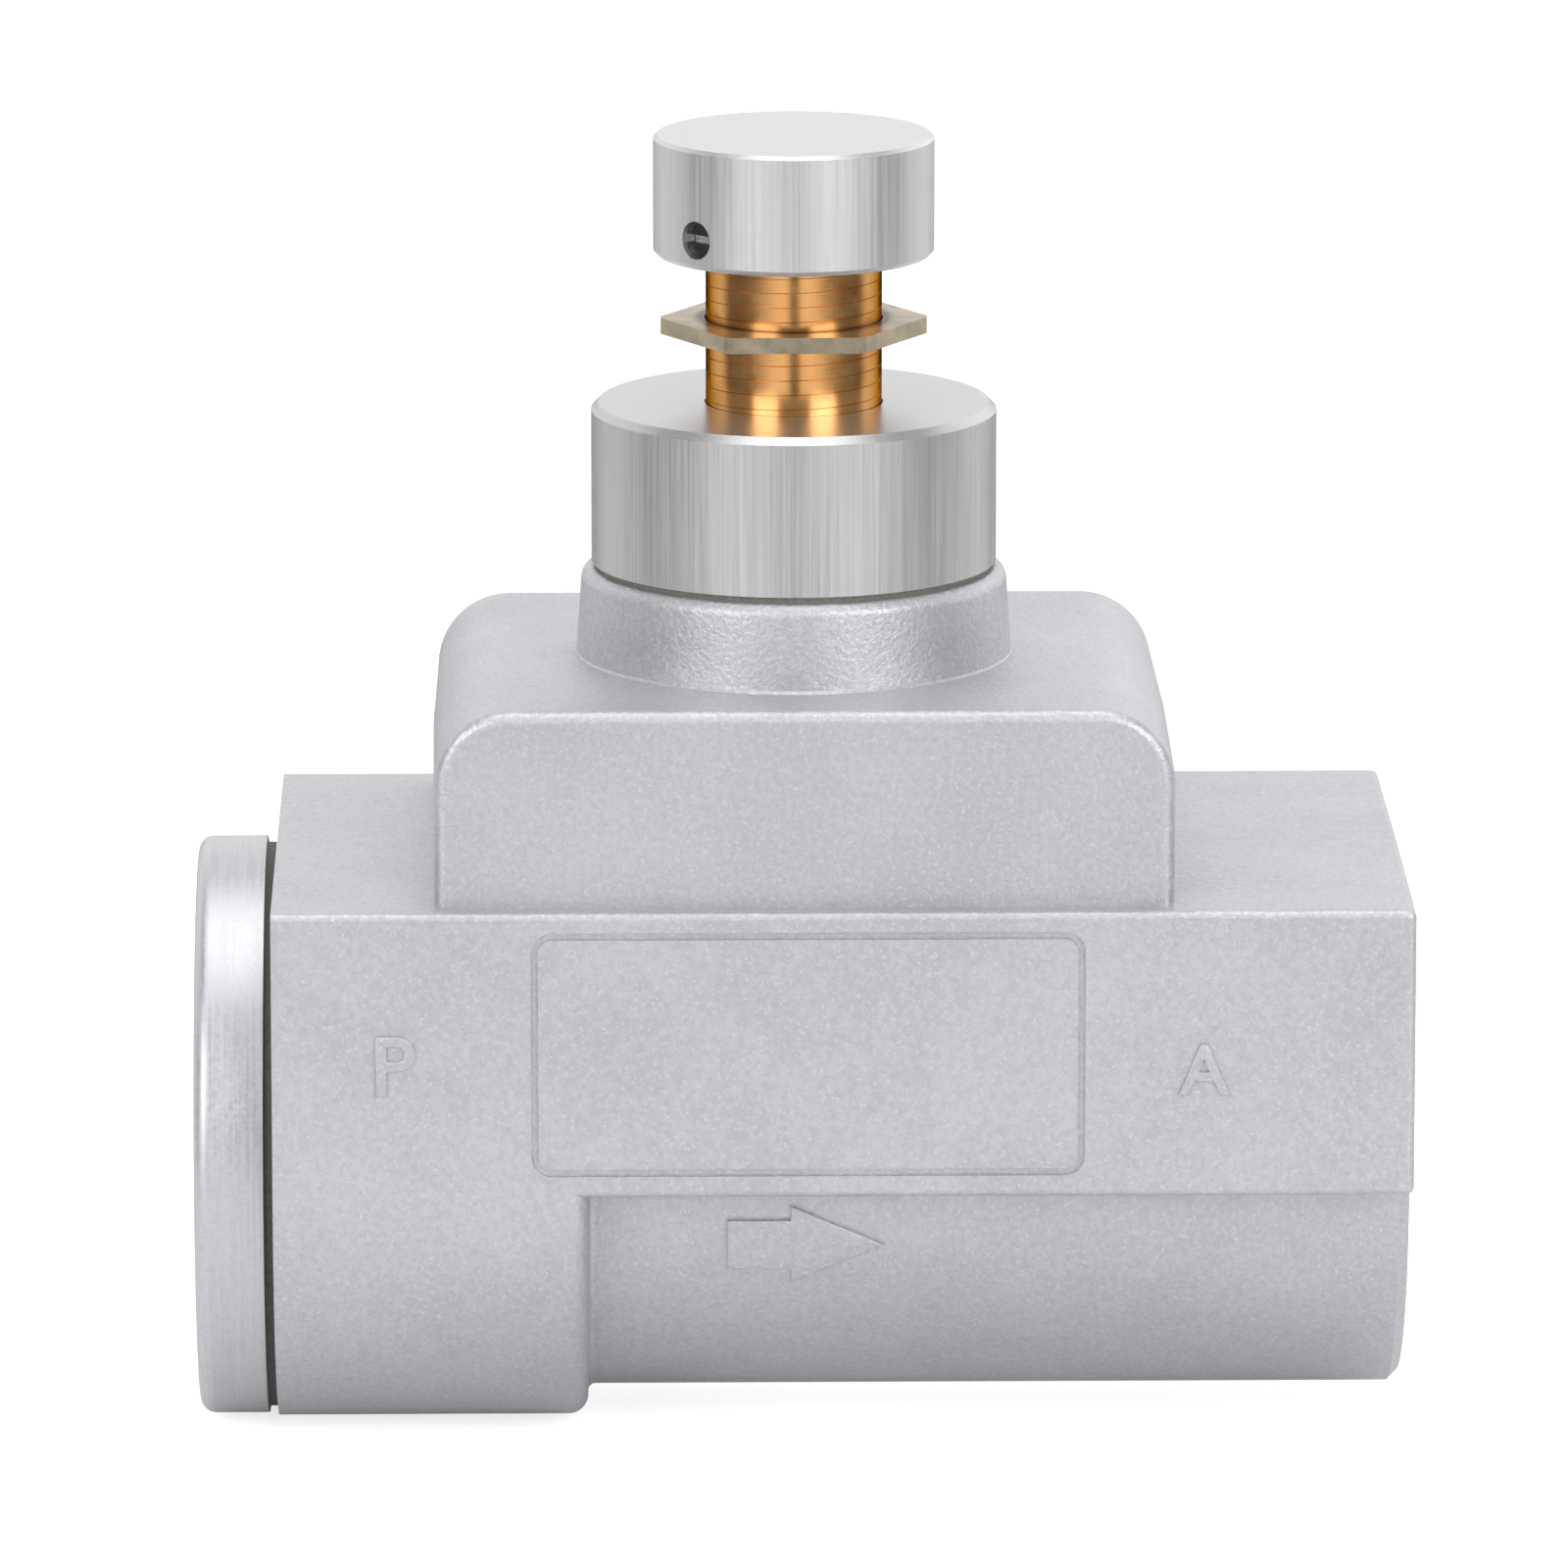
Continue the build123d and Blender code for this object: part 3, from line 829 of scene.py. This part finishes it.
nodeFinish = {
    "end_cap_seal": "rubber",
    "gland_seal": "gasket",
    "stem_seal": "rubber",
    "check_poppet_seal": "rubber",
    "check_poppet": "plastic",
    "gland": "gland",
    "knob": "knob",
    "locknut": "nut",
    "knob_set_screw": "screw",
}
for node, finish in nodeFinish.items():
    nodes[node].data.materials.clear()
    nodes[node].data.materials.append(finishes[finish])
print("node finishes set,", len(nodeFinish))


# Stage: floor, soft boxes, camera. The floor is pale on its paper and dark off it, for the metal to reflect

stageLook = {
    "floorSize": 8.0,
    "floorTone": (0.84, 0.84, 0.84),
    "floorSides": (0.09, 0.09, 0.09),
    "floorRoughness": 0.85,
    "paperHalf": (0.21, 0.31),       # the paper fades out to the sides
    "paperBack": (0.16, 0.24),       # and behind the valve
    "wingBack": (0.04, 0.14),        # two white cards lie behind it at the sides
    "wingHalf": (0.20, 0.27),
    "wingTone": 0.85,
    "shadeFront": (0.18, 0.25),      # the camera's shade, painted as a dark strip ahead of it, down the middle
    "shadeHalf": (0.03, 0.065),
    "seenGlow": (1.0, 0.75),         # glow for camera rays alone, off the paper and on it: hides the dark
    "worldTone": (0.97, 0.98, 1.0),
    "worldStrength": 0.28,
    "boxes": [
        {"name": "leftBox", "at": (-0.75, -1.00, 0.60), "size": (0.8, 0.9), "power": 8.0},
        {"name": "rightBox", "at": (0.83, -1.00, 0.60), "size": (0.8, 0.9), "power": 8.6},
        {"name": "leftRim", "at": (-0.95, 0.85, 0.55), "size": (1.6, 1.2), "power": 4.6},
        {"name": "rightRim", "at": (1.03, 0.85, 0.55), "size": (1.6, 1.2), "power": 6.2},
        {"name": "topBox", "at": (0.04, 0.0, 1.25), "size": (1.2, 0.9), "power": 7.0},
        {"name": "backBox", "at": (0.04, 2.1, 0.9), "size": (1.5, 1.7), "power": 6.4},
    ],
    "aim": (0.041, 0.0, 0.02),
}


def makeFloor():
    half = stageLook["floorSize"] / 2
    level = cadLow.z
    mesh = bpy.data.meshes.new("floor")
    corners = [(-half, -half, level), (half, -half, level), (half, half, level), (-half, half, level)]
    mesh.from_pydata(corners, [], [(0, 1, 2, 3)])
    floor = bpy.data.objects.new("floor", mesh)
    bpy.context.scene.collection.objects.link(floor)
    finish, tree, shader = startFinish("floorFinish", Roughness=stageLook["floorRoughness"])
    split = addNode(tree, "ShaderNodeSeparateXYZ")
    tree.links.new(objectPlace(tree, (-stemX, 0, 0)), split.inputs[0])
    look = stageLook
    across = math2(tree, "ABSOLUTE", split.outputs[0])
    aside = spread(tree, across, 1.0, 0.0, *look["paperHalf"])
    behind = spread(tree, split.outputs[1], 0.0, 1.0, *look["paperBack"])
    besides = spread(tree, split.outputs[1], 0.0, 1.0, *look["wingBack"])
    wings = math2(tree, "MULTIPLY", besides, spread(tree, across, 0.0, look["wingTone"], *look["wingHalf"]))
    # painted shadow of the camera: darker ahead of the valve, down the middle
    ahead = spread(tree, math2(tree, "MULTIPLY", split.outputs[1], -1.0), 0.0, 1.0, *look["shadeFront"])
    middle = spread(tree, across, 1.0, 0.0, *look["shadeHalf"])
    lit = math2(tree, "SUBTRACT", 1.0, math2(tree, "MULTIPLY", ahead, middle))
    near = math2(tree, "MULTIPLY", aside, math2(tree, "SUBTRACT", lit, behind))
    paper = math2(tree, "MAXIMUM", wings, near)
    plug(tree, tint(tree, paper, look["floorSides"], look["floorTone"], 0, 1), shader.inputs["Base Color"])
    seen = addNode(tree, "ShaderNodeLightPath").outputs["Is Camera Ray"]
    shader.inputs["Emission Color"].default_value = (1, 1, 1, 1)
    glow = spread(tree, paper, *look["seenGlow"], 0, 1)
    plug(tree, math2(tree, "MULTIPLY", seen, glow), shader.inputs["Emission Strength"])
    mesh.materials.append(finish)


def makeWorld():
    world = bpy.data.worlds.new("studio")
    world.use_nodes = True
    sky = world.node_tree.nodes["Background"]
    sky.inputs["Color"].default_value = (*stageLook["worldTone"], 1)
    sky.inputs["Strength"].default_value = stageLook["worldStrength"]
    bpy.context.scene.world = world


def makeBox(name, at, size, power):
    light = bpy.data.lights.new(name, "AREA")
    light.shape = "RECTANGLE"
    light.size, light.size_y = size
    light.energy = power
    holder = bpy.data.objects.new(name, light)
    holder.location = at
    holder.rotation_euler = (Vector(stageLook["aim"]) - Vector(at)).to_track_quat("-Z", "Y").to_euler()
    bpy.context.scene.collection.objects.link(holder)


cameraLook = {
    "yaw": 0.940,
    "elevation": 12.357,
    "target": (40.14 * mm, 0.0, 23.78 * mm),
    "distance": 914.4 * mm,
    "lens": 306.5,
    "sensor": 36,
    "clip": (0.05, 50),
}


def makeCamera():
    look = cameraLook
    yaw, elevation = math.radians(look["yaw"]), math.radians(look["elevation"])
    level = math.cos(elevation)
    forward = Vector((math.sin(yaw) * level, math.cos(yaw) * level, -math.sin(elevation)))
    data = bpy.data.cameras.new("camera")
    data.lens = look["lens"]
    data.sensor_width = look["sensor"]
    data.clip_start, data.clip_end = look["clip"]
    camera = bpy.data.objects.new("camera", data)
    camera.location = Vector(look["target"]) - forward * look["distance"]
    camera.rotation_euler = forward.to_track_quat("-Z", "Y").to_euler()
    bpy.context.scene.collection.objects.link(camera)
    bpy.context.scene.camera = camera


makeFloor()
makeWorld()
for box in stageLook["boxes"]:
    makeBox(**box)
makeCamera()
bpy.context.scene.view_settings.view_transform = "Standard"
print("stage made")
